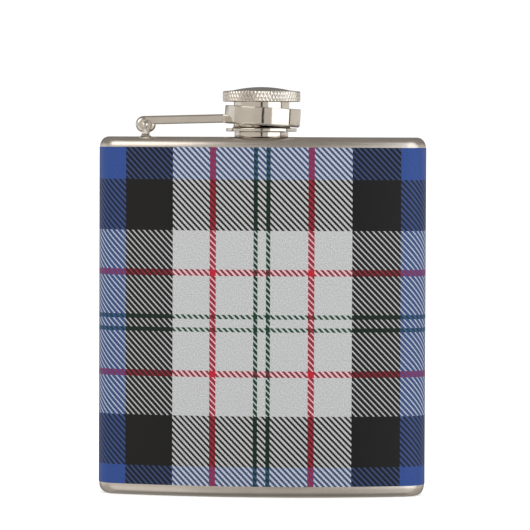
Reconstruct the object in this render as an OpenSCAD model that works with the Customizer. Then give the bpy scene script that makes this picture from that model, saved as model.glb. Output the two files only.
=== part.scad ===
// Hip flask, kidney section, with a captive screw cap on a hinged arm.
// Frame: millimetres, +Z up along the neck's axis, front of the flask towards -Y,
// origin where that axis meets the underside.

/* [Body] */
// Width of the metal body across the front
body_w = 91.7; // [85:0.1:110]
// Depth of the metal body from the front's crown to the back of its two lobes
body_d = 23.7; // [23:0.1:28]
// Height of the metal body without the cap
body_h = 100.5; // [70:0.5:140]
// Thickness of the body through its middle
middle_t = 17.6; // [15:0.1:18.5]
// Radius of the bowed front
front_r = 134; // [110:1:180]
// Radius of the two front corners in plan
front_corner_r = 7.5; // [5:0.1:8]
// Radius of the two back corners in plan
back_corner_r = 7; // [5:0.1:7.5]
// Radius of the rounded edge round the top and the base
edge_r = 2.6; // [1.2:0.1:2.8]
// Thickness of the steel sheet
sheet_t = 0.6; // [0.4:0.05:0.8]
// Depth of the lip that locates each end plate inside the body wall
lip_h = 1.5; // [0.8:0.1:3]

/* [Wrap] */
// Thickness of the printed vinyl
wrap_t = 0.15; // [0.1:0.01:0.3]
// Bare metal left below the wrap
wrap_low_margin = 3.2; // [2.9:0.1:12]
// Bare metal left above the wrap
wrap_top_margin = 2.9; // [2.9:0.1:12]
// Gap between the wrap's two ends at the middle of the back
wrap_seam_gap = 0.4; // [0.2:0.1:2]

/* [Neck] */
// Diameter of the hole to pour and drink through
mouth_d = 10.4; // [9.5:0.1:10.8]
// Diameter over the thread's crests
thread_d = 13.3; // [13.1:0.1:13.6]
// Depth of the thread
thread_depth = 0.4; // [0.2:0.05:0.45]
// Rise of the thread in one turn
thread_pitch = 1; // [0.8:0.1:1.2]
// Diameter of the plain shoulder below the thread
shoulder_d = 15; // [14.6:0.1:17]
// Height of the plain shoulder
shoulder_h = 1.4; // [1:0.1:2]
// Height of the neck above the top plate
neck_h = 6.85; // [6.5:0.05:7.5]
// Diameter of the neck's tail where it passes through the top plate
tail_d = 12.6; // [12:0.1:14]
// Length of the tail below the top plate's upper face
tail_h = 1.7; // [1:0.1:4]

/* [Cap] */
// Diameter of the knurled head
head_d = 21.7; // [21:0.1:26]
// Height of the knurled rim
head_rim_h = 2.9; // [2:0.1:5]
// Rise of the sloped shoulder between the knurled rim and the dome
head_slope_h = 0.26; // [0.1:0.02:0.6]
// Diameter of the dome on top of the head
dome_d = 15.8; // [12:0.1:18]
// Height of the dome
dome_h = 0.94; // [0.5:0.02:2]
// Outside diameter of the plain stem
stem_d = 15.5; // [15.2:0.1:15.7]
// Length of the stem between the head and the retaining flange
stem_h = 7.4; // [7:0.1:9]
// Diameter of the retaining flange
flange_d = 19.7; // [18.5:0.1:20.4]
// Thickness of the retaining flange
flange_t = 0.95; // [0.6:0.05:1.1]
// Gap between the neck's thread and the cap, on the radius
thread_clearance = 0.35; // [0.3:0.01:0.4]
// Gap between the retaining flange and the neck's shoulder
flange_clearance = 0.1; // [0.05:0.01:0.3]
// Thickness of the sealing disc
gasket_t = 0.9; // [0.5:0.1:1.2]
// Gap left between the sealing disc and the neck's rim
seal_gap = 0.05; // [0.02:0.01:0.2]

/* [Arm] */
// Outside diameter of the collar ring
ring_d = 21.1; // [20:0.1:26]
// Gap between the collar ring and the stem, on the radius
ring_clearance = 0.6; // [0.55:0.05:1]
// Height of the collar ring
ring_h = 5.1; // [3:0.1:5.2]
// Slant of the resting ring, its free side down
ring_slant = 3.2; // [0:0.1:3.4]
// Gap between the resting ring and the retaining flange
ring_rest_gap = 0.2; // [0.1:0.05:0.6]
// Distance that the slanting ring sits off the neck's axis
ring_offset = 0.32; // [0:0.02:0.34]
// Height of the bar
bar_h = 2.3; // [1.6:0.1:2.6]
// Width of the bar and the knuckle, front to back
bar_w = 3; // [2:0.1:4]
// Height of the bar's underside above the ring's lower edge, where they join
bar_seat = 0.2; // [0:0.05:1]

/* [Hinge] */
// Distance from the neck's axis to the hinge pin
hinge_reach = 32.5; // [28:0.1:35]
// Height of the hinge pin above the top plate
hinge_h = 3.25; // [3.2:0.05:4]
// Diameter of the hinge pin
pin_d = 0.9; // [0.7:0.05:1.2]
// Gap round the pin in the knuckle, on the radius
pin_clearance = 0.05; // [0.02:0.01:0.1]
// Gap round the pin in the bracket's legs, on the radius
leg_bore_clearance = 0.03; // [0.02:0.01:0.1]
// Radius of the knuckle's two rounded ends
knuckle_r = 2.3; // [2:0.05:2.35]
// Distance between the centres of the knuckle's rounded ends
knuckle_l = 1; // [0.6:0.1:1.2]
// Height of the knuckle's middle above the pin
knuckle_up = 0.2; // [0:0.05:0.3]
// Width of a bracket leg
leg_w = 1.9; // [1.7:0.1:2.6]
// Thickness of a bracket leg, front to back
leg_t = 1.1; // [0.8:0.1:1.6]
// Gap between the knuckle and each leg
leg_clearance = 0.15; // [0.1:0.05:0.3]
// Thickness of the bracket's foot
foot_t = 0.25; // [0.15:0.05:0.25]
// Distance that the foot reaches past the legs, to the left and right
foot_spread = 0.3; // [0:0.05:1]
// Height of the pin's domed heads
pin_head_h = 0.3; // [0.2:0.05:0.6]

/* [Hidden] */
$fn = 64;

// Steps along each stretch of the plan outline, and round an edge seen from the side
bow_steps = 16;
corner_steps = 8;
edge_steps = 6;
// Fit between the end plates' lips and the wall
lip_gap = 0.05;
// Overlap of cutting shapes past the face they cut
cut = 1;

// Plan outline: a bowed front, four corner arcs and a hollow back, all tangent
front_y = -middle_t / 2;
back_y = middle_t / 2;
front_centre_y = front_y + front_r;
front_corner_x = body_w / 2 - front_corner_r;
front_corner_angle = asin(front_corner_x / (front_r - front_corner_r));
front_corner_y = front_centre_y - (front_r - front_corner_r) * cos(front_corner_angle);
back_corner_x = body_w / 2 - back_corner_r;
back_corner_y = front_y + body_d - back_corner_r;
lobe_drop = back_corner_y - back_y;
back_r = (back_corner_x ^ 2 + lobe_drop ^ 2 - back_corner_r ^ 2) / (2 * (back_corner_r + lobe_drop));
back_centre_y = back_y + back_r;
back_angle = asin(back_corner_x / (back_r + back_corner_r));

// Heights of the neck and cap, above the top plate
flange_z = shoulder_h + flange_clearance;
stem_z = flange_z + flange_t;
head_z = stem_z + stem_h;
gasket_z = neck_h + seal_gap;
spigot_z = gasket_z + gasket_t;
cap_bore_r = thread_d / 2 + thread_clearance;
thread_turns = floor((neck_h - shoulder_h - 0.6) / thread_pitch);

// The slanting ring, over the retaining flange
ring_bore_r = stem_d / 2 + ring_clearance;
ring_z = stem_z + ring_rest_gap + ring_h / 2 / cos(ring_slant)
    + (flange_d / 2 - ring_offset) * tan(ring_slant);
bar_low_z = ring_z - ring_h / 2 + ring_d / 2 * sin(ring_slant) + bar_seat;
bar_end_x = ring_offset - (ring_d / 2 + ring_bore_r) / 2;
knuckle_z = hinge_h + knuckle_up;

// Points along an arc of the plan outline about a centre, from one heading to another,
// where heading 0 points to the front and 90 to the right; skip drops both end points
function arc(centre_x, centre_y, r, from, to, steps, skip = 0) = [
    for (i = [skip : steps - skip])
        let (a = from + (to - from) * i / steps)
            [centre_x + r * sin(a), centre_y - r * cos(a)]
];

// The plan outline, drawn in by a distance all round
function outline(inset) = concat(
    arc(0, front_centre_y, front_r - inset, -front_corner_angle, front_corner_angle, bow_steps, 1),
    arc(front_corner_x, front_corner_y, front_corner_r - inset, front_corner_angle, 90, corner_steps),
    arc(back_corner_x, back_corner_y, back_corner_r - inset, 90, 180 + back_angle, corner_steps),
    arc(0, back_centre_y, back_r + inset, back_angle, -back_angle, bow_steps, 1),
    arc(-back_corner_x, back_corner_y, back_corner_r - inset, 180 - back_angle, 270, corner_steps),
    arc(-front_corner_x, front_corner_y, front_corner_r - inset, 270, 360 - front_corner_angle, corner_steps)
);

// A pan skinned through rings of the outline; each ring is [inset, height]. Its two
// flat ends are strips from the front half of the outline to the back half.
module skin(rings) {
    count = len(outline(0));
    half = count / 2;
    left = count - corner_steps - 1;
    points = [for (ring = rings) for (p = outline(ring[0])) [p[0], p[1], ring[1]]];
    sides = [
        for (k = [0 : len(rings) - 2])
            for (i = [0 : count - 1])
                let (j = (i + 1) % count)
                    each [
                        [k * count + i, k * count + j, (k + 1) * count + i],
                        [k * count + j, (k + 1) * count + j, (k + 1) * count + i]
                    ]
    ];
    strips = [
        for (k = [0 : half - 2])
            let (
                front = (left + k) % count,
                front_next = (left + k + 1) % count,
                back = left - 1 - k,
                back_next = left - 2 - k
            )
                each [[front, back, front_next], [front_next, back, back_next]]
    ];
    end = (len(rings) - 1) * count;
    ends = [for (t = strips) [end + t[0], end + t[2], end + t[1]]];
    polyhedron(points, concat(sides, strips, ends), convexity = 6);
}

// A pressed end plate with its flat face down, from its outer face inwards: rounded
// edge, butt joint on the wall, locating lip
module end_plate() {
    lip_inset = sheet_t + lip_gap;
    inner_r = edge_r - sheet_t;
    outer = [for (i = [0 : edge_steps])
        let (a = 90 * i / edge_steps) [edge_r * (1 - sin(a)), edge_r * (1 - cos(a))]];
    inner = [for (i = [edge_steps : -1 : 0])
        let (a = 90 * i / edge_steps)
            [lip_inset + sheet_t + inner_r * (1 - sin(a)), sheet_t + inner_r * (1 - cos(a))]];
    skin(concat(
        outer,
        [[lip_inset, edge_r], [lip_inset, edge_r + lip_h], [lip_inset + sheet_t, edge_r + lip_h]],
        inner
    ));
}

module body_shell() {
    color("silver")
        translate([0, 0, edge_r])
            linear_extrude(height = body_h - 2 * edge_r)
                difference() {
                    polygon(outline(0));
                    polygon(outline(sheet_t));
                }
}

module top_plate() {
    color("silver")
        difference() {
            translate([0, 0, body_h])
                mirror([0, 0, 1])
                    end_plate();
            translate([0, 0, body_h - tail_h - cut])
                cylinder(d = tail_d, h = tail_h + 2 * cut);
        }
}

module base_plate() {
    color("silver")
        end_plate();
}

module vinyl_wrap() {
    color("lightsteelblue")
        translate([0, 0, wrap_low_margin])
            linear_extrude(height = body_h - wrap_low_margin - wrap_top_margin)
                difference() {
                    polygon(outline(-wrap_t));
                    polygon(outline(0));
                    translate([-wrap_seam_gap / 2, 0])
                        square([wrap_seam_gap, middle_t]);
                }
}

// Thread ridges as rings, each a blunt V, cut in or standing out by the depth
module thread_rings(root_r, depth, first_z, turns) {
    for (i = [0 : turns - 1])
        translate([0, 0, first_z + i * thread_pitch])
            rotate_extrude()
                polygon([
                    [root_r - 0.1 * sign(depth), 0.1 * thread_pitch],
                    [root_r + depth, 0.4 * thread_pitch],
                    [root_r + depth, 0.55 * thread_pitch],
                    [root_r - 0.1 * sign(depth), 0.85 * thread_pitch]
                ]);
}

module neck() {
    root_r = thread_d / 2 - thread_depth;
    color("gainsboro")
        translate([0, 0, body_h])
            difference() {
                union() {
                    translate([0, 0, -tail_h])
                        cylinder(d = tail_d, h = tail_h);
                    cylinder(d = shoulder_d, h = shoulder_h);
                    cylinder(r = root_r, h = neck_h);
                    thread_rings(root_r, thread_depth, shoulder_h + 0.3, thread_turns);
                }
                translate([0, 0, -tail_h - cut])
                    cylinder(d = mouth_d, h = neck_h + tail_h + 2 * cut);
            }
}

// Places its children at the hinge pin, lying across the flask
module at_hinge() {
    translate([-hinge_reach, 0, body_h + hinge_h])
        rotate([90, 0, 0])
            children();
}

module hinge_bracket() {
    inner_w = bar_w + 2 * leg_clearance;
    outer_w = inner_w + 2 * leg_t;
    color("gainsboro")
        difference() {
            union() {
                for (side = [-1, 1])
                    translate([0, side * (inner_w + leg_t) / 2, 0])
                        at_hinge()
                            translate([0, 0, -leg_t / 2])
                                linear_extrude(height = leg_t)
                                    union() {
                                        circle(d = leg_w);
                                        translate([-leg_w / 2, -hinge_h])
                                            square([leg_w, hinge_h]);
                                    }
                translate([-hinge_reach - leg_w / 2 - foot_spread, -outer_w / 2, body_h])
                    cube([leg_w + 2 * foot_spread, outer_w, foot_t]);
            }
            at_hinge()
                cylinder(r = pin_d / 2 + leg_bore_clearance, h = outer_w + 2 * cut, center = true);
        }
}

module hinge_pin() {
    outer_w = bar_w + 2 * leg_clearance + 2 * leg_t;
    color("gainsboro")
        at_hinge() {
            cylinder(d = pin_d, h = outer_w, center = true);
            for (side = [0, 1])
                mirror([0, 0, side])
                    translate([0, 0, outer_w / 2])
                        rotate_extrude()
                            polygon([
                                [0, 0], [pin_d * 0.75, 0], [pin_d * 0.75, pin_head_h * 0.4],
                                [pin_d * 0.5, pin_head_h * 0.85], [0, pin_head_h]
                            ]);
        }
}

// The arm's side view: two rounded knuckle ends, the web between them, and the bar
module arm_profile() {
    for (side = [-1, 1])
        translate([-hinge_reach + side * knuckle_l / 2, knuckle_z])
            circle(r = knuckle_r);
    translate([-hinge_reach - knuckle_l / 2, knuckle_z - knuckle_r])
        square([knuckle_l, 2 * knuckle_r]);
    polygon([
        [-hinge_reach, knuckle_z + knuckle_r - bar_h],
        [bar_end_x, bar_low_z],
        [bar_end_x, bar_low_z + bar_h],
        [-hinge_reach, knuckle_z + knuckle_r]
    ]);
}

module cap_arm() {
    color("gainsboro")
        translate([0, 0, body_h])
            difference() {
                union() {
                    translate([ring_offset, 0, ring_z])
                        rotate([0, ring_slant, 0])
                            cylinder(d = ring_d, h = ring_h, center = true);
                    rotate([90, 0, 0])
                        translate([0, 0, -bar_w / 2])
                            linear_extrude(height = bar_w)
                                arm_profile();
                }
                translate([ring_offset, 0, ring_z])
                    rotate([0, ring_slant, 0])
                        cylinder(r = ring_bore_r, h = ring_h + 2 * cut, center = true);
                translate([-hinge_reach, 0, hinge_h])
                    rotate([90, 0, 0])
                        cylinder(r = pin_d / 2 + pin_clearance, h = bar_w + 2 * cut, center = true);
            }
}

module cap_head() {
    dome_r = (dome_d ^ 2 / 4 + dome_h ^ 2) / (2 * dome_h);
    color("gainsboro")
        translate([0, 0, body_h]) {
            translate([0, 0, spigot_z])
                cylinder(r = cap_bore_r, h = head_z - spigot_z);
            translate([0, 0, head_z])
                cylinder(d = head_d, h = head_rim_h);
            translate([0, 0, head_z + head_rim_h])
                cylinder(d1 = head_d, d2 = dome_d, h = head_slope_h);
            translate([0, 0, head_z + head_rim_h + head_slope_h])
                intersection() {
                    translate([0, 0, dome_h - dome_r])
                        sphere(r = dome_r);
                    cylinder(d = dome_d, h = dome_h + cut);
                }
        }
}

module cap_sleeve() {
    turns = floor((gasket_z - flange_z - 0.8) / thread_pitch);
    color("gainsboro")
        translate([0, 0, body_h])
            difference() {
                union() {
                    translate([0, 0, flange_z])
                        cylinder(d = stem_d, h = head_z - flange_z);
                    translate([0, 0, flange_z])
                        cylinder(d = flange_d, h = flange_t);
                }
                translate([0, 0, flange_z - cut])
                    cylinder(r = cap_bore_r, h = head_z - flange_z + 2 * cut);
                thread_rings(cap_bore_r, thread_depth * 0.7, flange_z + 0.4, turns);
            }
}

module cap_gasket() {
    color("whitesmoke")
        translate([0, 0, body_h + gasket_z])
            cylinder(r = cap_bore_r, h = gasket_t);
}

body_shell();
top_plate();
base_plate();
vinyl_wrap();
neck();
hinge_bracket();
hinge_pin();
cap_arm();
cap_head();
cap_sleeve();
cap_gasket();
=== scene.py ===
import math

import bmesh
import bpy
from mathutils import Matrix, Vector


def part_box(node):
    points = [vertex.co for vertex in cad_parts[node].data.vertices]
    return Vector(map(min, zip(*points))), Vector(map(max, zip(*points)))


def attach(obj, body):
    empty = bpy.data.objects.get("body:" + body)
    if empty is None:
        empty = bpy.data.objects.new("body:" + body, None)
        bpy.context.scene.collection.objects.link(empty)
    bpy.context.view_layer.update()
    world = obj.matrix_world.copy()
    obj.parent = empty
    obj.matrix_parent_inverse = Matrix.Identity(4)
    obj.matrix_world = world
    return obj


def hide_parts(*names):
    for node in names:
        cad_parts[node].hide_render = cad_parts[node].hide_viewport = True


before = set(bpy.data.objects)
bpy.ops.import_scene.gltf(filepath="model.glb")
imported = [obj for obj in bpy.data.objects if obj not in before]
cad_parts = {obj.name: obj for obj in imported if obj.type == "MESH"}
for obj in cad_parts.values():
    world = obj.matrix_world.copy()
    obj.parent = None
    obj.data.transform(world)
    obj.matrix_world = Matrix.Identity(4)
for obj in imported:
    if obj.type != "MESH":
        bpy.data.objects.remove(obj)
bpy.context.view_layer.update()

MM = 0.001

# Where the made pieces sit, from the frame
wall_low, wall_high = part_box("body_shell")
base_low, base_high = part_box("base_plate")
top_low, top_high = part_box("top_plate")
wrap_low, wrap_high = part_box("vinyl_wrap")
neck_low, neck_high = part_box("neck")
arm_low, arm_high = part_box("cap_arm")
head_low, head_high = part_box("cap_head")
sleeve_low, sleeve_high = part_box("cap_sleeve")
gasket_low, gasket_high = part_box("cap_gasket")
bracket_low, bracket_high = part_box("hinge_bracket")
pin_low, pin_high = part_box("hinge_pin")
BODY_TOP = top_high.z

# The kidney section: a bowed front, four corner arcs and a hollow back, all tangent
EDGE_R = 2.6 * MM
SHEET = 0.6 * MM
WRAP = wall_low.y - wrap_low.y
FRONT_R = 134 * MM
FRONT_CORNER_R = 7.5 * MM
BACK_CORNER_R = 7.0 * MM
MIDDLE = 17.6 * MM
HALF_WIDTH = wall_high.x
FRONT_Y = -MIDDLE / 2
BACK_Y = MIDDLE / 2
FRONT_CENTRE_Y = FRONT_Y + FRONT_R
FRONT_CORNER_X = HALF_WIDTH - FRONT_CORNER_R
FRONT_ANGLE = math.asin(FRONT_CORNER_X / (FRONT_R - FRONT_CORNER_R))
FRONT_CORNER_Y = FRONT_CENTRE_Y - (FRONT_R - FRONT_CORNER_R) * math.cos(FRONT_ANGLE)
BACK_CORNER_X = HALF_WIDTH - BACK_CORNER_R
BACK_CORNER_Y = wall_high.y - BACK_CORNER_R
LOBE_DROP = BACK_CORNER_Y - BACK_Y
BACK_R = (BACK_CORNER_X**2 + LOBE_DROP**2 - BACK_CORNER_R**2) / (2 * (BACK_CORNER_R + LOBE_DROP))
BACK_CENTRE_Y = BACK_Y + BACK_R
BACK_ANGLE = math.asin(BACK_CORNER_X / (BACK_R + BACK_CORNER_R))


def linear(hex_colour):
    """An sRGB hex colour as a linear colour with alpha."""
    parts = [int(hex_colour[i : i + 2], 16) / 255 for i in (1, 3, 5)]
    return [p / 12.92 if p <= 0.04045 else ((p + 0.055) / 1.055) ** 2.4 for p in parts] + [1.0]


def add(tree, kind, inputs=None, **settings):
    """Adds a node. Settings are its properties; inputs are its sockets' values, or the sockets that feed them."""
    made = tree.nodes.new(kind)
    for name, value in settings.items():
        setattr(made, name, value)
    for key, value in (inputs or {}).items():
        if isinstance(value, bpy.types.NodeSocket):
            tree.links.new(value, made.inputs[key])
        else:
            made.inputs[key].default_value = value
    return made


def new_material(name):
    """A material with its Principled shader, ready for its nodes."""
    material = bpy.data.materials.new(name)
    material.use_nodes = True
    return material, material.node_tree, material.node_tree.nodes["Principled BSDF"]


def stops(ramp, colours, interpolation):
    """Sets a colour ramp's stops from (place, colour) pairs."""
    ramp.color_ramp.interpolation = interpolation
    elements = ramp.color_ramp.elements
    while len(elements) < len(colours):
        elements.new(0.5)
    for i, (place, _) in enumerate(colours):
        elements[i].position = place
    for i, (_, colour) in enumerate(colours):
        elements[i].color = colour


# ---------------------------------------------------------------- materials


def polished_nickel():
    """Nickel plate on cast zinc, barrel polished: a warm mirror with a faint ripple and hairline rubs."""
    material, tree, shader = new_material("polished_nickel_plate")
    shader.inputs["Metallic"].default_value = 1.0
    place = add(tree, "ShaderNodeTexCoord").outputs["Object"]
    # ripple a few millimetres long left under the plate by casting
    ripple = add(tree, "ShaderNodeTexNoise", {"Vector": place, "Scale": 260.0, "Detail": 2.0})
    # handling rubs about 0.15 mm across
    rubs = add(tree, "ShaderNodeTexNoise", {"Vector": place, "Scale": 2600.0, "Detail": 4.0, "Roughness": 0.6})
    gloss = add(
        tree,
        "ShaderNodeMapRange",
        {"Value": rubs.outputs["Fac"], "From Min": 0.35, "From Max": 0.75, "To Min": 0.07, "To Max": 0.16},
    )
    tree.links.new(gloss.outputs[0], shader.inputs["Roughness"])
    tint = add(tree, "ShaderNodeValToRGB", {"Fac": ripple.outputs["Fac"]})
    stops(tint, [(0.3, linear("#e2dcd3")), (0.7, linear("#ebe6de"))], "LINEAR")
    tree.links.new(tint.outputs[0], shader.inputs["Base Color"])
    wave = add(
        tree,
        "ShaderNodeBump",
        {"Height": ripple.outputs["Fac"], "Strength": 0.15, "Distance": 0.1 * MM},
    )
    hairline = add(
        tree,
        "ShaderNodeBump",
        {"Height": rubs.outputs["Fac"], "Strength": 0.04, "Distance": 0.01 * MM, "Normal": wave.outputs[0]},
    )
    tree.links.new(hairline.outputs[0], shader.inputs["Normal"])
    return material


def satin_stainless():
    """Stainless sheet, belt-grained round the body: a soft grey with fine level lines that spread each highlight."""
    material, tree, shader = new_material("satin_stainless_sheet")
    shader.inputs["Metallic"].default_value = 1.0
    place = add(tree, "ShaderNodeTexCoord").outputs["Object"]
    # belt lines: 60 grit scratches 0.05 mm apart up the wall and 6 mm long round it
    stretched = add(tree, "ShaderNodeMapping", {"Vector": place, "Scale": (160.0, 160.0, 14000.0)})
    lines = add(
        tree,
        "ShaderNodeTexNoise",
        {"Vector": stretched.outputs[0], "Scale": 1.0, "Detail": 5.0, "Roughness": 0.65},
    )
    clouds = add(tree, "ShaderNodeTexNoise", {"Vector": place, "Scale": 90.0, "Detail": 3.0})
    tint = add(tree, "ShaderNodeValToRGB", {"Fac": clouds.outputs["Fac"]})
    stops(tint, [(0.3, linear("#d6d0c8")), (0.7, linear("#dfd9d1"))], "LINEAR")
    tree.links.new(tint.outputs[0], shader.inputs["Base Color"])
    gloss = add(
        tree,
        "ShaderNodeMapRange",
        {"Value": lines.outputs["Fac"], "From Min": 0.3, "From Max": 0.7, "To Min": 0.24, "To Max": 0.36},
    )
    tree.links.new(gloss.outputs[0], shader.inputs["Roughness"])
    grain = add(
        tree,
        "ShaderNodeBump",
        {"Height": lines.outputs["Fac"], "Strength": 0.12, "Distance": 0.02 * MM},
    )
    tree.links.new(grain.outputs[0], shader.inputs["Normal"])
    return material


# Thread pitch of the printed twill, up and round the flask
PITCH_UP = 0.425 * MM
PITCH_ROUND = 0.414 * MM
HALF_SETT = 120.6
# How much of each crossing the upright threads cover
WARP_SHARE = 0.58
PRINT_DOWN = 1.8 * MM
PRINT_RIGHT = 0.85 * MM
# Share of the hue that spreads between dashes, worked in display values
HUE_BLEED = 0.7
DISPLAY_GAMMA = 2.2


def plaid_vinyl():
    """Satin calendered vinyl, digitally printed as a 2/2 twill plaid: crisp ink dashes under a soft even sheen."""
    material, tree, shader = new_material("plaid_printed_vinyl")
    uv = add(tree, "ShaderNodeUVMap", uv_map="wrap").outputs[0]
    across = add(tree, "ShaderNodeSeparateXYZ", {0: uv})
    threads = []
    for axis, pitch, shift in ((0, PITCH_ROUND, -PRINT_RIGHT), (1, PITCH_UP, PRINT_DOWN)):
        moved = add(tree, "ShaderNodeMath", {0: across.outputs[axis], 1: shift}, operation="ADD")
        threads.append(add(tree, "ShaderNodeMath", {0: moved.outputs[0], 1: pitch}, operation="DIVIDE").outputs[0])
    white, green, red = linear("#b2b3b3"), linear("#0a3723"), linear("#b01329")
    black, blue = linear("#121213"), linear("#264485")
    bands = [(0, white), (2.5, green), (5.5, white), (31, red), (35, white), (60.7, black), (94, blue)]
    dyes = []
    for thread in threads:
        folded = add(tree, "ShaderNodeMath", {0: thread, 1: HALF_SETT}, operation="PINGPONG")
        share = add(tree, "ShaderNodeMath", {0: folded.outputs[0], 1: HALF_SETT}, operation="DIVIDE")
        ramp = add(tree, "ShaderNodeValToRGB", {"Fac": share.outputs[0]})
        stops(ramp, [(count / HALF_SETT, colour) for count, colour in bands], "CONSTANT")
        dyes.append(ramp.outputs[0])
    # 2/2 twill: each upright thread floats over two level ones, one step lower on the next thread
    column = add(tree, "ShaderNodeMath", {0: threads[0]}, operation="FLOOR")
    partly = add(tree, "ShaderNodeMix", {0: 0.5, 2: threads[0], 3: column.outputs[0]})
    step = add(tree, "ShaderNodeMath", {0: partly.outputs[0], 1: threads[1]}, operation="ADD")
    quarter = add(tree, "ShaderNodeMath", {0: step.outputs[0], 1: 0.25}, operation="MULTIPLY")
    phase = add(tree, "ShaderNodeMath", {0: quarter.outputs[0]}, operation="FRACT").outputs[0]
    warp_up = add(tree, "ShaderNodeMath", {0: phase, 1: WARP_SHARE}, operation="LESS_THAN").outputs[0]
    # the artwork bleeds its hues between neighbouring dashes, while light and dark stay crisp
    shown = [add(tree, "ShaderNodeGamma", {0: dye, 1: 1 / DISPLAY_GAMMA}).outputs[0] for dye in dyes]
    woven, average = [
        add(tree, "ShaderNodeMix", {0: factor, 6: shown[1], 7: shown[0]}, data_type="RGBA").outputs[2]
        for factor in (warp_up, WARP_SHARE)
    ]
    tones = [add(tree, "ShaderNodeRGBToBW", {0: colour}).outputs[0] for colour in (woven, average)]
    contrast = add(tree, "ShaderNodeMath", {0: tones[0], 1: tones[1]}, operation="SUBTRACT").outputs[0]
    lifted = add(tree, "ShaderNodeVectorMath", {0: average, 1: contrast}, operation="ADD").outputs[0]
    bled = add(tree, "ShaderNodeMix", {0: HUE_BLEED, 6: woven, 7: lifted}, data_type="RGBA").outputs[2]
    # thread relief in the artwork: a light float darkens towards its two ends, most where it crosses a dark one
    half = add(tree, "ShaderNodeMath", {0: phase, 1: 0.5}, operation="PINGPONG")
    to_edge = add(tree, "ShaderNodeMath", {0: phase, 1: WARP_SHARE}, operation="SUBTRACT")
    apart = add(tree, "ShaderNodeMath", {0: to_edge.outputs[0]}, operation="ABSOLUTE")
    nearest = add(tree, "ShaderNodeMath", {0: half.outputs[0], 1: apart.outputs[0]}, operation="MINIMUM")
    end = add(
        tree,
        "ShaderNodeMapRange",
        {"Value": nearest.outputs[0], "From Min": 0.0, "From Max": 0.14, "To Min": 1.0, "To Max": 0.0},
    )
    depth = add(tree, "ShaderNodeMath", {0: contrast}, operation="ABSOLUTE")
    dip = add(tree, "ShaderNodeMath", {0: depth.outputs[0], 1: 1.6, 2: 0.05}, operation="MULTIPLY_ADD")
    dim = add(tree, "ShaderNodeMath", {0: end.outputs[0], 1: dip.outputs[0]}, operation="MULTIPLY")
    relief = add(tree, "ShaderNodeMath", {0: 1.0, 1: dim.outputs[0]}, operation="SUBTRACT")
    # speckle of single yarn ends, about 0.3 mm
    noise = add(tree, "ShaderNodeTexNoise", {"Vector": uv, "Scale": 3300.0, "Detail": 2.0})
    grain = add(
        tree,
        "ShaderNodeMapRange",
        {"Value": noise.outputs["Fac"], "From Min": 0.25, "From Max": 0.75, "To Min": 0.83, "To Max": 1.15},
    )
    shade = add(tree, "ShaderNodeMath", {0: relief.outputs[0], 1: grain.outputs[0]}, operation="MULTIPLY")
    inked = add(tree, "ShaderNodeVectorMath", {0: bled, "Scale": shade.outputs[0]}, operation="SCALE").outputs[0]
    ink = add(tree, "ShaderNodeGamma", {0: inked, 1: DISPLAY_GAMMA}).outputs[0]
    tree.links.new(ink, shader.inputs["Base Color"])
    shader.inputs["Roughness"].default_value = 0.42
    shader.inputs["IOR"].default_value = 1.5
    shader.inputs["Specular IOR Level"].default_value = 0.25
    # calender emboss, 0.25 mm cells
    emboss = add(tree, "ShaderNodeTexNoise", {"Vector": uv, "Scale": 1800.0, "Detail": 3.0})
    skin = add(
        tree,
        "ShaderNodeBump",
        {"Height": emboss.outputs["Fac"], "Strength": 0.1, "Distance": 0.02 * MM},
    )
    tree.links.new(skin.outputs[0], shader.inputs["Normal"])
    return material


def seal_plastic():
    """Moulded white polyethylene: soft, slightly waxy, with a fine moulded matt."""
    material, tree, shader = new_material("moulded_white_polyethylene")
    place = add(tree, "ShaderNodeTexCoord").outputs["Object"]
    mottle = add(tree, "ShaderNodeTexNoise", {"Vector": place, "Scale": 500.0, "Detail": 3.0})
    tint = add(tree, "ShaderNodeValToRGB", {"Fac": mottle.outputs["Fac"]})
    stops(tint, [(0.35, linear("#e3e2dc")), (0.7, linear("#eeede8"))], "LINEAR")
    tree.links.new(tint.outputs[0], shader.inputs["Base Color"])
    shader.inputs["Roughness"].default_value = 0.45
    shader.inputs["IOR"].default_value = 1.51
    matt = add(
        tree,
        "ShaderNodeBump",
        {"Height": mottle.outputs["Fac"], "Strength": 0.2, "Distance": 0.02 * MM},
    )
    tree.links.new(matt.outputs[0], shader.inputs["Normal"])
    return material


NICKEL = polished_nickel()
STAINLESS = satin_stainless()
VINYL = plaid_vinyl()
SEAL = seal_plastic()


# ---------------------------------------------------------------- making pieces

# Faces that meet at more than this keep a crisp edge
SHARP = math.radians(35)


def finish_piece(bm, name, material, body, node, thickness=0.0):
    """Turns a bmesh into a piece that rides on a body and stands for its CAD node; thickness goes inwards."""
    bmesh.ops.remove_doubles(bm, verts=bm.verts, dist=1e-7)
    bmesh.ops.recalc_face_normals(bm, faces=bm.faces)
    if thickness:
        bmesh.ops.solidify(bm, geom=list(bm.faces), thickness=thickness)
    mesh = bpy.data.meshes.new(name)
    for face in bm.faces:
        face.smooth = True
    for edge in bm.edges:
        edge.smooth = edge.calc_face_angle(0.0) < SHARP
    bm.to_mesh(mesh)
    bm.free()
    piece = bpy.data.objects.new(name, mesh)
    bpy.context.scene.collection.objects.link(piece)
    mesh.materials.append(material)
    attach(piece, body)
    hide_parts(node)
    return piece


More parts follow.
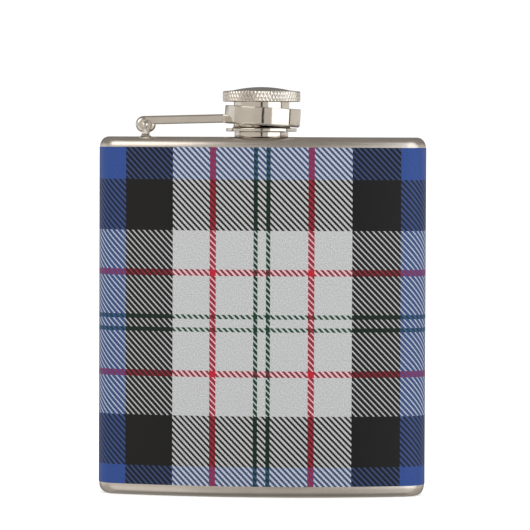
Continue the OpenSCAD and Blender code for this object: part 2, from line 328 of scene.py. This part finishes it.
CORNER_SWEEP = math.pi / 2 - FRONT_ANGLE
LOBE_SWEEP = math.pi / 2 + BACK_ANGLE
LEFT_CORNER = (-FRONT_CORNER_X, FRONT_CORNER_Y, CORNER_SWEEP, 14)
FRONT_BOW = (0, FRONT_CENTRE_Y, 2 * FRONT_ANGLE, 48)
RIGHT_CORNER = (FRONT_CORNER_X, FRONT_CORNER_Y, CORNER_SWEEP, 14)
RIGHT_LOBE = (BACK_CORNER_X, BACK_CORNER_Y, LOBE_SWEEP, 18)
LEFT_LOBE = (-BACK_CORNER_X, BACK_CORNER_Y, LOBE_SWEEP, 18)


def outline_loop(bm, inset, z):
    """A closed loop of the kidney section, drawn in by inset, as its edges."""
    before = set(bm.edges)
    reach = FRONT_CORNER_R - inset
    start = (-FRONT_CORNER_X - reach, FRONT_CORNER_Y, z)
    first = bm.verts.new(start)
    vert = first
    for x, y, angle, steps in (LEFT_CORNER, FRONT_BOW, RIGHT_CORNER):
        spun = bmesh.ops.spin(bm, geom=[vert], cent=(x, y, z), axis=(0, 0, 1), angle=angle, steps=steps)
        vert = next(v for v in spun["geom_last"] if isinstance(v, bmesh.types.BMVert))
    # the straight side between the corner and the lobe
    lobe = bm.verts.new((HALF_WIDTH - inset, BACK_CORNER_Y, z))
    bm.edges.new((vert, lobe))
    vert = lobe
    for x, y, angle, steps in (RIGHT_LOBE, (0, BACK_CENTRE_Y, -2 * BACK_ANGLE, 48), LEFT_LOBE):
        spun = bmesh.ops.spin(bm, geom=[vert], cent=(x, y, z), axis=(0, 0, 1), angle=angle, steps=steps)
        vert = next(v for v in spun["geom_last"] if isinstance(v, bmesh.types.BMVert))
    bm.edges.new((vert, first))
    return [e for e in bm.edges if e not in before]


def skin_rings(bm, rings):
    """Skins loops of the kidney section, each (inset, height), and returns the last loop's edges."""
    last = outline_loop(bm, *rings[0])
    for ring in rings[1:]:
        new = outline_loop(bm, *ring)
        bmesh.ops.bridge_loops(bm, edges=last + new)
        last = new
    return last


def lathe(bm, profile, steps, tilt=None):
    """Spins a closed or pole-to-pole profile of (radius, height) round Z."""
    verts = [bm.verts.new((r, 0, z)) for r, z in profile]
    edges = [bm.edges.new(pair) for pair in zip(verts, verts[1:])]
    if profile[0][0] > 0 or profile[-1][0] > 0:
        edges.append(bm.edges.new((verts[-1], verts[0])))
    before = set(bm.verts) - set(verts)
    bmesh.ops.spin(
        bm, geom=verts + edges, cent=(0, 0, 0), axis=(0, 0, 1), angle=2 * math.pi, steps=steps, use_merge=True
    )
    made = [v for v in bm.verts if v not in before]
    bmesh.ops.remove_doubles(bm, verts=made, dist=1e-7)
    made = [v for v in bm.verts if v not in before]
    if tilt:
        bmesh.ops.transform(bm, matrix=tilt, verts=made)
    return made


def rounded(corners, radius, steps=4):
    """Rounds the corners of a closed (radius, height) profile; a corner on the axis stays sharp."""
    points = []
    for i, corner in enumerate(corners):
        here = Vector(corner)
        back = (Vector(corners[i - 1]) - here).normalized()
        on = (Vector(corners[(i + 1) % len(corners)]) - here).normalized()
        reach = radius if abs(here.x) > 1e-6 else 0
        if reach == 0 or abs(back.dot(on)) > 0.999:
            points.append(tuple(here))
            continue
        a, b = here + back * reach, here + on * reach
        for k in range(steps + 1):
            t = k / steps
            p = a * (1 - t) ** 2 + here * 2 * t * (1 - t) + b * t**2
            points.append(tuple(p))
    return points


# ---------------------------------------------------------------- the can

QUARTER = [math.pi / 2 * i / 10 for i in range(11)]
LIP_INSET = SHEET + 0.05 * MM
LIP_H = 1.5 * MM
INNER_R = EDGE_R - SHEET
# Radius of the neck's tail, which the top pan is pierced for
TAIL_R = 6.3 * MM


def pan_rings(outside):
    """Heights and insets of a pan, from its open rim to its flat face, outside or inside."""
    if outside:
        lip = [(LIP_INSET + SHEET, EDGE_R + LIP_H), (LIP_INSET, EDGE_R + LIP_H), (LIP_INSET, EDGE_R)]
        return lip + [(EDGE_R * (1 - math.cos(a)), EDGE_R * (1 - math.sin(a))) for a in QUARTER]
    start = LIP_INSET + SHEET
    rings = [(start + INNER_R * (1 - math.cos(a)), SHEET + INNER_R * (1 - math.sin(a))) for a in QUARTER]
    return [(start, EDGE_R + LIP_H)] + rings


bm = bmesh.new()
skin_rings(bm, [(0, wall_low.z), (0, wall_high.z)])
finish_piece(bm, "body_wall", STAINLESS, "flask", "body_shell", SHEET)

bm = bmesh.new()
for outside in (True, False):
    bmesh.ops.contextual_create(bm, geom=skin_rings(bm, pan_rings(outside)))
finish_piece(bm, "base_pan", STAINLESS, "flask", "base_plate")

bm = bmesh.new()
for outside in (True, False):
    loop = skin_rings(bm, [(inset, BODY_TOP - height) for inset, height in pan_rings(outside)])
    level = BODY_TOP if outside else BODY_TOP - SHEET
    circle = bmesh.ops.create_circle(
        bm, cap_ends=False, radius=TAIL_R, segments=96, matrix=Matrix.Translation((0, 0, level))
    )
    rim = list({e for v in circle["verts"] for e in v.link_edges})
    links = []
    for hand in (-1, 1):
        ends = []
        for ring in (loop, rim):
            # where the ring passes from its front half to its back half
            front = {v for e in ring if sum(v.co.y for v in e.verts) < 0 for v in e.verts}
            back = {v for e in ring if sum(v.co.y for v in e.verts) > 0 for v in e.verts}
            ends.append(next(v for v in front & back if v.co.x * hand > 0))
        links.append(bm.edges.new(ends))
    # the flat round the hole, as a front and a back face that meet in two links along X
    for face_side in (-1, 1):
        half = [e for e in loop + rim if face_side * sum(v.co.y for v in e.verts) > 0]
        bmesh.ops.contextual_create(bm, geom=half + links)
    if outside:
        hole = bmesh.ops.extrude_edge_only(bm, edges=rim)
        sunk = [v for v in hole["geom"] if isinstance(v, bmesh.types.BMVert)]
        bmesh.ops.translate(bm, vec=(0, 0, -SHEET), verts=sunk)
finish_piece(bm, "top_pan", STAINLESS, "flask", "top_plate")

# ---------------------------------------------------------------- the wrap

bm = bmesh.new()
# half the gap where the sheet's two ends meet, as an angle at the middle of the back
seam = 0.2 * MM / BACK_R
start = (
    -(BACK_R - WRAP) * math.sin(seam),
    BACK_CENTRE_Y - (BACK_R - WRAP) * math.cos(seam),
    wrap_low.z,
)
half_back = BACK_ANGLE - seam
vert = bm.verts.new(start)
path = [vert]
for stretch in (
    [(0, BACK_CENTRE_Y, -half_back, 24), LEFT_LOBE],
    [LEFT_CORNER, FRONT_BOW, RIGHT_CORNER],
    [RIGHT_LOBE, (0, BACK_CENTRE_Y, -half_back, 24)],
):
    if len(path) > 1:
        side = 1 if path[-1].co.x > 0 else -1
        y = FRONT_CORNER_Y if side < 0 else BACK_CORNER_Y
        vert = bm.verts.new((side * (HALF_WIDTH + WRAP), y, wrap_low.z))
        bm.edges.new((path[-1], vert))
    for x, y, angle, steps in stretch:
        spun = bmesh.ops.spin(bm, geom=[vert], cent=(x, y, wrap_low.z), axis=(0, 0, 1), angle=angle, steps=steps)
        vert = next(v for v in spun["geom_last"] if isinstance(v, bmesh.types.BMVert))
    bm.verts.ensure_lookup_table()
    path = list(bm.verts)
length, along = 0.0, {}
for i, v in enumerate(path):
    if i:
        length += (v.co - path[i - 1].co).length
    along[(round(v.co.x, 7), round(v.co.y, 7))] = length
extruded = bmesh.ops.extrude_edge_only(bm, edges=list(bm.edges))
raised = [v for v in extruded["geom"] if isinstance(v, bmesh.types.BMVert)]
bmesh.ops.translate(bm, vec=(0, 0, wrap_high.z - wrap_low.z), verts=raised)
uv = bm.loops.layers.uv.new("wrap")
middle = (wrap_low.z + wrap_high.z) / 2
for face in bm.faces:
    for corner in face.loops:
        co = corner.vert.co
        corner[uv].uv = (along[(round(co.x, 7), round(co.y, 7))] - length / 2, co.z - middle)
finish_piece(bm, "plaid_wrap", VINYL, "flask", "vinyl_wrap", WRAP)

# ---------------------------------------------------------------- the neck


def screw_ridge(bm, root, crest, low, pitch, turns, steps=72):
    """A helical thread ridge with a blunt V section, standing from root out to crest."""
    profile = [(root, 0), (crest, 0.3 * pitch), (crest, 0.45 * pitch), (root, 0.75 * pitch)]
    verts = [bm.verts.new((r, 0, low + z)) for r, z in profile]
    face = bm.faces.new(verts)
    edges = list(face.edges)
    # the spin uses the face up, so a copy of it closes the start
    bmesh.ops.duplicate(bm, geom=[face])
    bmesh.ops.spin(
        bm,
        geom=verts + edges + [face],
        cent=(0, 0, 0),
        axis=(0, 0, 1),
        dvec=(0, 0, pitch / steps),
        angle=2 * math.pi * turns,
        steps=int(steps * turns),
    )


NECK_TOP = neck_high.z
MOUTH_R = 5.2 * MM
THREAD_R = 6.65 * MM
THREAD_DEPTH = 0.4 * MM
THREAD_PITCH = 1.0 * MM
SHOULDER_R = neck_high.x
SHOULDER_TOP = BODY_TOP + 1.4 * MM

bm = bmesh.new()
root_r = THREAD_R - THREAD_DEPTH
neck_profile = rounded(
    [
        (MOUTH_R, neck_low.z),
        (TAIL_R, neck_low.z),
        (TAIL_R, BODY_TOP + 0.02 * MM),
        (SHOULDER_R, BODY_TOP + 0.02 * MM),
        (SHOULDER_R, SHOULDER_TOP),
        (root_r, SHOULDER_TOP),
        (root_r, NECK_TOP),
        (MOUTH_R, NECK_TOP),
    ],
    0.12 * MM,
)
lathe(bm, neck_profile, 120)
screw_ridge(bm, root_r - 0.05 * MM, THREAD_R, SHOULDER_TOP + 0.3 * MM, THREAD_PITCH, 4)
finish_piece(bm, "neck_spout", NICKEL, "flask", "neck")

# ---------------------------------------------------------------- the cap

HEAD_R = head_high.x
HEAD_LOW = sleeve_high.z
HEAD_RIM = 2.9 * MM
SLOPE = 0.26 * MM
DOME_R = 7.9 * MM
DOME_H = head_high.z - HEAD_LOW - HEAD_RIM - SLOPE
SPIGOT_R = 7.0 * MM
TEETH = 65
KNURL_ROWS = 2.2 * MM
KNURL_DEPTH = 0.15 * MM
KNURL_SHARE = 0.55

bm = bmesh.new()
rim_rows = 24
edge_round = 0.16 * MM
rim_profile = []
for k in range(rim_rows + 1):
    z = HEAD_RIM * k / rim_rows
    shy = min(z, HEAD_RIM - z)
    drop = 0 if shy > edge_round else edge_round - math.sqrt(edge_round**2 - (edge_round - shy) ** 2)
    crown = 0.05 * MM * (2 * z / HEAD_RIM - 1) ** 2
    rim_profile.append((HEAD_R - drop - crown, HEAD_LOW + z))
dome_curve = (DOME_R**2 + DOME_H**2) / (2 * DOME_H)
dome_top = HEAD_LOW + HEAD_RIM + SLOPE + DOME_H
dome_profile = []
for k in range(13):
    r = DOME_R * (1 - k / 12)
    dome_profile.append((r, dome_top - dome_curve + math.sqrt(dome_curve**2 - r**2)))
head_profile = (
    [(0, head_low.z), (SPIGOT_R - 0.2 * MM, head_low.z), (SPIGOT_R, head_low.z + 0.2 * MM), (SPIGOT_R, HEAD_LOW)]
    + rim_profile
    + dome_profile
)
made = lathe(bm, head_profile, TEETH * 10)
for v in made:
    r = math.hypot(v.co.x, v.co.y)
    z = v.co.z - HEAD_LOW
    if r > HEAD_R - 0.3 * MM and 0 <= z <= HEAD_RIM:
        turn = math.atan2(v.co.y, v.co.x) / (2 * math.pi) * TEETH
        ridge = 1.0
        for hand in (1, -1):
            lean = (turn + hand * z / KNURL_ROWS) % 1.0
            ridge = min(ridge, abs(2 * lean - 1) / KNURL_SHARE)
        fade = min(1.0, min(z, HEAD_RIM - z) / (0.1 * MM))
        new_r = r - KNURL_DEPTH * (1 - min(1.0, ridge)) * fade
        v.co.x *= new_r / r
        v.co.y *= new_r / r
finish_piece(bm, "knurled_head", NICKEL, "cap", "cap_head")

FLANGE_R = sleeve_high.x
FLANGE_TOP = sleeve_low.z + 0.95 * MM
STEM_R = 7.75 * MM
bm = bmesh.new()
groove_r = SPIGOT_R + 0.28 * MM
fillet = [math.pi / 2 * i / 8 for i in range(9)]
sleeve_profile = rounded(
    [
        (groove_r, sleeve_low.z),
        (FLANGE_R, sleeve_low.z),
        (FLANGE_R, FLANGE_TOP),
    ],
    0.2 * MM,
)
sleeve_profile += [
    (STEM_R + 0.5 * MM * (1 - math.sin(a)), FLANGE_TOP + 1.1 * MM * (1 - math.cos(a))) for a in fillet
]
sleeve_profile += rounded(
    [
        (STEM_R, sleeve_high.z),
        (SPIGOT_R, sleeve_high.z),
        (SPIGOT_R, head_low.z - 1.2 * MM),
        (groove_r, head_low.z - 1.5 * MM),
    ],
    0.2 * MM,
)
lathe(bm, sleeve_profile, 144)
screw_ridge(bm, groove_r + 0.03 * MM, SPIGOT_R, sleeve_low.z + 0.4 * MM, THREAD_PITCH, 4)
finish_piece(bm, "cap_stem", NICKEL, "cap", "cap_sleeve")

bm = bmesh.new()
lathe(
    bm,
    [
        (0, gasket_low.z),
        (MOUTH_R - 0.6 * MM, gasket_low.z),
        (MOUTH_R - 0.3 * MM, gasket_low.z),
        (SPIGOT_R - 0.4 * MM, gasket_low.z),
        (SPIGOT_R - 0.1 * MM, gasket_low.z + 0.15 * MM),
        (SPIGOT_R, gasket_low.z + 0.3 * MM),
        (SPIGOT_R, gasket_high.z),
        (0, gasket_high.z),
    ],
    96,
)
finish_piece(bm, "sealing_disc", SEAL, "cap", "cap_gasket")

# ---------------------------------------------------------------- the arm

RING_SLANT = math.radians(3.2)
RING_R = 10.55 * MM
RING_BORE = 8.35 * MM
RING_H = 5.1 * MM
RING_OFFSET = 0.32 * MM
RING_Z = FLANGE_TOP + 0.2 * MM + RING_H / 2 / math.cos(RING_SLANT) + (FLANGE_R - RING_OFFSET) * math.tan(RING_SLANT)
PIN_X = (pin_low.x + pin_high.x) / 2
PIN_Z = (pin_low.z + pin_high.z) / 2
KNUCKLE_Z = PIN_Z + 0.2 * MM
KNUCKLE_R = 2.3 * MM
KNUCKLE_L = 1.0 * MM
BAR_H = 2.4 * MM
BAR_W = 3.0 * MM

bm = bmesh.new()
lean = Matrix.Translation((RING_OFFSET, 0, RING_Z)) @ Matrix.Rotation(RING_SLANT, 4, "Y")
ring_profile = rounded(
    [(RING_BORE, -RING_H / 2), (RING_R - 0.45 * MM, -RING_H / 2), (RING_R, -RING_H / 2 + 0.45 * MM)]
    + [(RING_R, RING_H / 2), (RING_BORE, RING_H / 2)],
    0.2 * MM,
)
lathe(bm, ring_profile, 144, lean)

# the knuckle: two round ends and the web between them, with well rounded flanks
ends = []
for side in (-1, 1):
    disc = bmesh.ops.create_circle(
        bm,
        cap_ends=False,
        radius=KNUCKLE_R,
        segments=48,
        matrix=Matrix.Translation((PIN_X + side * KNUCKLE_L / 2, -BAR_W / 2, KNUCKLE_Z))
        @ Matrix.Rotation(math.pi / 2, 4, "X"),
    )
    keep = [v for v in disc["verts"] if (v.co.x - PIN_X) * side >= KNUCKLE_L / 2 - 1e-7]
    bmesh.ops.delete(bm, geom=[v for v in disc["verts"] if v not in keep], context="VERTS")
    ends += keep
rim_edges = {e for v in ends for e in v.link_edges}
for z in (KNUCKLE_Z - KNUCKLE_R, KNUCKLE_Z + KNUCKLE_R):
    pair = [v for v in ends if abs(v.co.z - z) < 1e-6]
    rim_edges.add(bm.edges.new(pair))
face = bmesh.ops.contextual_create(bm, geom=list(rim_edges))["faces"][0]
sides = bmesh.ops.extrude_face_region(bm, geom=[face])
moved = [v for v in sides["geom"] if isinstance(v, bmesh.types.BMVert)]
bmesh.ops.translate(bm, vec=(0, BAR_W, 0), verts=moved)
knuckle_verts = set(ends) | set(moved)
flanks = [
    e
    for e in bm.edges
    if e.verts[0] in knuckle_verts
    and e.verts[1] in knuckle_verts
    and abs(e.verts[0].co.y - e.verts[1].co.y) < 1e-7
]
bmesh.ops.bevel(
    bm, geom=flanks, offset=1.1 * MM, offset_type="OFFSET", segments=8, profile=0.5, affect="EDGES", material=-1
)

# the bar, from inside the knuckle to inside the ring's wall, a little stouter where it meets the ring
bar_top = KNUCKLE_Z + KNUCKLE_R
bar_low_right = RING_Z - RING_H / 2 + RING_R * math.sin(RING_SLANT) + 0.2 * MM
bar_end = RING_OFFSET - (RING_R + RING_BORE) / 2
sections = [
    (PIN_X, bar_top - BAR_H / 2, BAR_H, BAR_W),
    (RING_OFFSET - RING_R - 0.5 * MM, None, BAR_H, BAR_W),
    (RING_OFFSET - RING_R - 0.1 * MM, None, BAR_H * 1.03, BAR_W * 1.03),
    (RING_OFFSET - RING_R + 0.15 * MM, None, BAR_H * 1.1, BAR_W * 1.1),
    (bar_end, None, BAR_H * 1.12, BAR_W * 1.15),
]
last = None
for i, (x, z, tall, wide) in enumerate(sections):
    share = (x - PIN_X) / (bar_end - PIN_X)
    if z is None:
        z = (bar_top - BAR_H) * (1 - share) + bar_low_right * share + BAR_H / 2
    corners = [(-wide / 2, -tall / 2), (wide / 2, -tall / 2), (wide / 2, tall / 2), (-wide / 2, tall / 2)]
    verts = [bm.verts.new((x, y, z + up)) for y, up in rounded(corners, 0.45 * MM, 5)]
    loop = [bm.edges.new(pair) for pair in zip(verts, verts[1:] + verts[:1])]
    if i in (0, len(sections) - 1):
        bmesh.ops.contextual_create(bm, geom=loop)
    if last:
        bmesh.ops.bridge_loops(bm, edges=last + loop)
    last = loop
finish_piece(bm, "cap_arm_casting", NICKEL, "arm", "cap_arm")

# ---------------------------------------------------------------- the hinge

LEG_W = 1.9 * MM
LEG_T = 1.1 * MM
FOOT_T = 0.25 * MM
FOOT_SPREAD = 0.3 * MM
LEG_SPREAD = 0.12 * MM
WAIST_Z = BODY_TOP + 0.6 * MM
WAIST_IN = 0.6 * MM
PIN_CLEAR = 1.2 * MM

bm = bmesh.new()
for y in (bracket_low.y, bracket_high.y - LEG_T):
    flare = (PIN_X + LEG_W / 2 + LEG_SPREAD, y, BODY_TOP)
    rise = [bm.verts.new(flare), bm.verts.new((PIN_X + LEG_W / 2, y, WAIST_Z))]
    rise.append(bm.verts.new((PIN_X + LEG_W / 2, y, PIN_Z)))
    known = set(bm.verts)
    spun = bmesh.ops.spin(bm, geom=[rise[-1]], cent=(PIN_X, y, PIN_Z), axis=(0, -1, 0), angle=math.pi, steps=20)
    far = next(v for v in spun["geom_last"] if isinstance(v, bmesh.types.BMVert))
    arc = [v for v in bm.verts if v not in known]
    fall = [bm.verts.new((PIN_X - LEG_W / 2, y, WAIST_Z))]
    fall.append(bm.verts.new((PIN_X - LEG_W / 2 - LEG_SPREAD, y, BODY_TOP)))
    loop = [bm.edges.new((rise[0], rise[1])), bm.edges.new((rise[1], rise[2]))]
    loop += [bm.edges.new((far, fall[0])), bm.edges.new((fall[0], fall[1])), bm.edges.new((fall[1], rise[0]))]
    loop += [e for v in arc for e in v.link_edges if e not in loop]
    side = bmesh.ops.contextual_create(bm, geom=list(set(loop)))["faces"][0]
    grown = bmesh.ops.extrude_face_region(bm, geom=[side])
    moved = [v for v in grown["geom"] if isinstance(v, bmesh.types.BMVert)]
    bmesh.ops.translate(bm, vec=(0, LEG_T, 0), verts=moved)
    leg = set(rise) | set(arc) | set(fall) | set(moved)
    # two level cuts, so that the outer face can draw in to a waist and flare out again to the foot
    for cut in (PIN_Z - PIN_CLEAR, WAIST_Z):
        parts_of_leg = [f for f in bm.faces if set(f.verts) <= leg]
        parts_of_leg += [e for e in bm.edges if set(e.verts) <= leg] + list(leg)
        made = bmesh.ops.bisect_plane(bm, geom=parts_of_leg, dist=1e-7, plane_co=(0, 0, cut), plane_no=(0, 0, 1))
        leg |= {v for v in made["geom_cut"] if isinstance(v, bmesh.types.BMVert)}
    outer_y = bracket_low.y if y < 0 else bracket_high.y
    waist = [v for v in leg if abs(v.co.y - outer_y) < 1e-7 and abs(v.co.z - WAIST_Z) < 1e-7]
    bmesh.ops.translate(bm, vec=(0, WAIST_IN if y < 0 else -WAIST_IN, 0), verts=waist)
    rim = [e for e in bm.edges if set(e.verts) <= leg and abs(e.verts[0].co.y - e.verts[1].co.y) < LEG_T / 2]
    rim = [e for e in rim if max(v.co.z for v in e.verts) > BODY_TOP + 1e-5 and e.calc_face_angle(0.0) > SHARP]
    rim = [e for e in rim if abs(e.verts[0].co.x - e.verts[1].co.x) < LEG_W / 2]
    bmesh.ops.bevel(
        bm, geom=rim, offset=0.16 * MM, offset_type="OFFSET", segments=3, profile=0.5, affect="EDGES", material=-1
    )
foot = bmesh.ops.create_cube(
    bm,
    size=1.0,
    matrix=Matrix.Translation((PIN_X, (bracket_low.y + bracket_high.y) / 2, BODY_TOP + FOOT_T / 2))
    @ Matrix.Diagonal((LEG_W + 2 * FOOT_SPREAD, bracket_high.y - bracket_low.y, FOOT_T, 1)),
)
foot_edges = [e for e in bm.edges if set(e.verts) <= set(foot["verts"]) and min(v.co.z for v in e.verts) > BODY_TOP]
bmesh.ops.bevel(
    bm, geom=foot_edges, offset=0.1 * MM, offset_type="OFFSET", segments=2, profile=0.5, affect="EDGES", material=-1
)
finish_piece(bm, "hinge_legs", NICKEL, "flask", "hinge_bracket")

bm = bmesh.new()
PIN_R = 0.45 * MM
PIN_HEAD_R = 0.675 * MM
half_pin = pin_high.y - 0.3 * MM
lay_down = Matrix.Translation((PIN_X, (pin_low.y + pin_high.y) / 2, PIN_Z)) @ Matrix.Rotation(math.pi / 2, 4, "X")
lathe(
    bm,
    [
        (0, -half_pin - 0.3 * MM),
        (PIN_HEAD_R * 0.45, -half_pin - 0.27 * MM),
        (PIN_HEAD_R * 0.8, -half_pin - 0.18 * MM),
        (PIN_HEAD_R, -half_pin - 0.06 * MM),
        (PIN_HEAD_R, -half_pin),
        (PIN_R, -half_pin),
        (PIN_R, half_pin),
        (PIN_HEAD_R, half_pin),
        (PIN_HEAD_R, half_pin + 0.06 * MM),
        (PIN_HEAD_R * 0.8, half_pin + 0.18 * MM),
        (PIN_HEAD_R * 0.45, half_pin + 0.27 * MM),
        (0, half_pin + 0.3 * MM),
    ],
    40,
    lay_down,
)
finish_piece(bm, "hinge_rivet", NICKEL, "flask", "hinge_pin")

# ---------------------------------------------------------------- stage, light and camera

floor_bm = bmesh.new()
bmesh.ops.create_grid(floor_bm, x_segments=1, y_segments=1, size=200)
floor_mesh = bpy.data.meshes.new("floor")
floor_bm.to_mesh(floor_mesh)
floor_bm.free()
floor = bpy.data.objects.new("floor", floor_mesh)
bpy.context.scene.collection.objects.link(floor)
paper, tree, shader = new_material("matt_white_paper")
shader.inputs["Base Color"].default_value = linear("#fafaf9")
shader.inputs["Roughness"].default_value = 0.9
shader.inputs["Emission Color"].default_value = (1, 1, 1, 1)
shader.inputs["Emission Strength"].default_value = 0.35
floor_mesh.materials.append(paper)
floor.visible_glossy = False

CAMERA_TURN = math.radians(3.8)
world = bpy.data.worlds.new("studio")
bpy.context.scene.world = world
world.use_nodes = True
tree = world.node_tree
background = tree.nodes["Background"]
toward = add(tree, "ShaderNodeTexCoord").outputs["Generated"]
turned = add(tree, "ShaderNodeVectorRotate", {"Vector": toward, "Angle": -CAMERA_TURN}, rotation_type="Z_AXIS")
parts = add(tree, "ShaderNodeSeparateXYZ", {0: turned.outputs[0]})
ahead = add(tree, "ShaderNodeMath", {0: parts.outputs[1], 1: -1.0}, operation="MULTIPLY")
heading = add(tree, "ShaderNodeMath", {0: parts.outputs[0], 1: ahead.outputs[0]}, operation="ARCTAN2")
place = add(
    tree,
    "ShaderNodeMapRange",
    {"Value": heading.outputs[0], "From Min": -math.pi, "From Max": math.pi, "To Min": 0.0, "To Max": 1.0},
)
panels = add(tree, "ShaderNodeValToRGB", {"Fac": place.outputs[0]})
MID = (0.57, 0.53, 0.485, 1)
PANEL = (0.60, 0.56, 0.505, 1)
PALE = (0.77, 0.75, 0.72, 1)
SOFTBOX = (1.5, 1.5, 1.5, 1)
DARK = (0.03, 0.028, 0.025, 1)
FAR = (0.69, 0.655, 0.60, 1)
CEILING = (0.27, 0.25, 0.23, 1)
BEHIND = (0.20, 0.19, 0.18, 1)
GROUND = (0.47, 0.44, 0.41, 1)
GROUND_LEFT = (0.85, 0.80, 0.75, 1)
GROUND_RIGHT = (0.74, 0.70, 0.65, 1)
UNDER = (0.2, 0.19, 0.18, 1)
EDGE_DARK = (0.12, 0.11, 0.10, 1)
LEFT_BOX = (2.2, 2.1, 2.0, 1)
headings = [
    (-180, EDGE_DARK),
    (-154, PALE),
    (-98, PANEL),
    (-27, MID),
    (-3.4, DARK),
    (3.4, MID),
    (27, SOFTBOX),
    (88, DARK),
    (93.5, FAR),
    (166, EDGE_DARK),
]
stops(panels, [((degrees + 180) / 360, colour) for degrees, colour in headings], "CONSTANT")
high_panels = add(tree, "ShaderNodeValToRGB", {"Fac": place.outputs[0]})
high_headings = [(-180, CEILING), (-72, LEFT_BOX), (-26, CEILING), (30, SOFTBOX), (80, CEILING)]
stops(high_panels, [((degrees + 180) / 360, colour) for degrees, colour in high_headings], "CONSTANT")
low_panels = add(tree, "ShaderNodeValToRGB", {"Fac": place.outputs[0]})
low_headings = [(-180, GROUND), (-72, GROUND_LEFT), (-26, GROUND), (30, GROUND_RIGHT), (80, GROUND)]
stops(low_panels, [((degrees + 180) / 360, colour) for degrees, colour in low_headings], "CONSTANT")
light = panels.outputs[0]
levels = (
    (0.17, 0.29, high_panels.outputs[0]),
    (0.62, 0.8, CEILING),
    (-0.1, -0.3, low_panels.outputs[0]),
    (-0.8, -0.97, UNDER),
)
for low, high, colour in levels:
    rise = add(tree, "ShaderNodeMapRange", {"Value": parts.outputs[2], "From Min": low, "From Max": high})
    light = add(tree, "ShaderNodeMix", {0: rise.outputs[0], 6: light, 7: colour}, data_type="RGBA").outputs[2]
# the far wall is in shade; the cap's dome and the undersides of rounded edges look at it
wall = add(tree, "ShaderNodeMapRange", {"Value": ahead.outputs[0], "From Min": -0.6, "From Max": -0.85})
level = add(tree, "ShaderNodeMath", {0: parts.outputs[2]}, operation="ABSOLUTE").outputs[0]
above = add(tree, "ShaderNodeMapRange", {"Value": level, "From Min": 0.03, "From Max": 0.1})
shaded = add(tree, "ShaderNodeMath", {0: wall.outputs[0], 1: above.outputs[0]}, operation="MULTIPLY")
light = add(tree, "ShaderNodeMix", {0: shaded.outputs[0], 6: light, 7: BEHIND}, data_type="RGBA").outputs[2]
ray = add(tree, "ShaderNodeLightPath").outputs["Is Glossy Ray"]
seen = add(tree, "ShaderNodeMix", {0: ray, 6: (1.04, 1.04, 1.04, 1), 7: light}, data_type="RGBA")
tree.links.new(seen.outputs[2], background.inputs["Color"])

key_data = bpy.data.lights.new("overhead_softbox", "AREA")
key_data.size = 1.2
key_data.energy = 2.5
key = bpy.data.objects.new("overhead_softbox", key_data)
bpy.context.scene.collection.objects.link(key)
key.location = (0.35, -0.7, 1.25)
key.rotation_euler = (Vector((0, 0, 0.05)) - key.location).to_track_quat("-Z", "Y").to_euler()
key.visible_glossy = False

CAMERA_AWAY = 1.0
CAMERA_Z = BODY_TOP
camera_data = bpy.data.cameras.new("camera")
camera_data.sensor_width = 36
camera_data.lens = 242.6
camera = bpy.data.objects.new("camera", camera_data)
bpy.context.scene.collection.objects.link(camera)
bpy.context.scene.camera = camera
camera.location = (CAMERA_AWAY * math.sin(CAMERA_TURN), -CAMERA_AWAY * math.cos(CAMERA_TURN), CAMERA_Z)
AIM = Vector((1.15 * MM, 0, 64.65 * MM))
toward_aim = (AIM - camera.location).to_track_quat("-Z", "Y")
roll = Matrix.Rotation(math.radians(0.236), 4, "Z").to_quaternion()
camera.rotation_mode = "QUATERNION"
camera.rotation_quaternion = toward_aim @ roll

bpy.context.scene.view_settings.view_transform = "Standard"
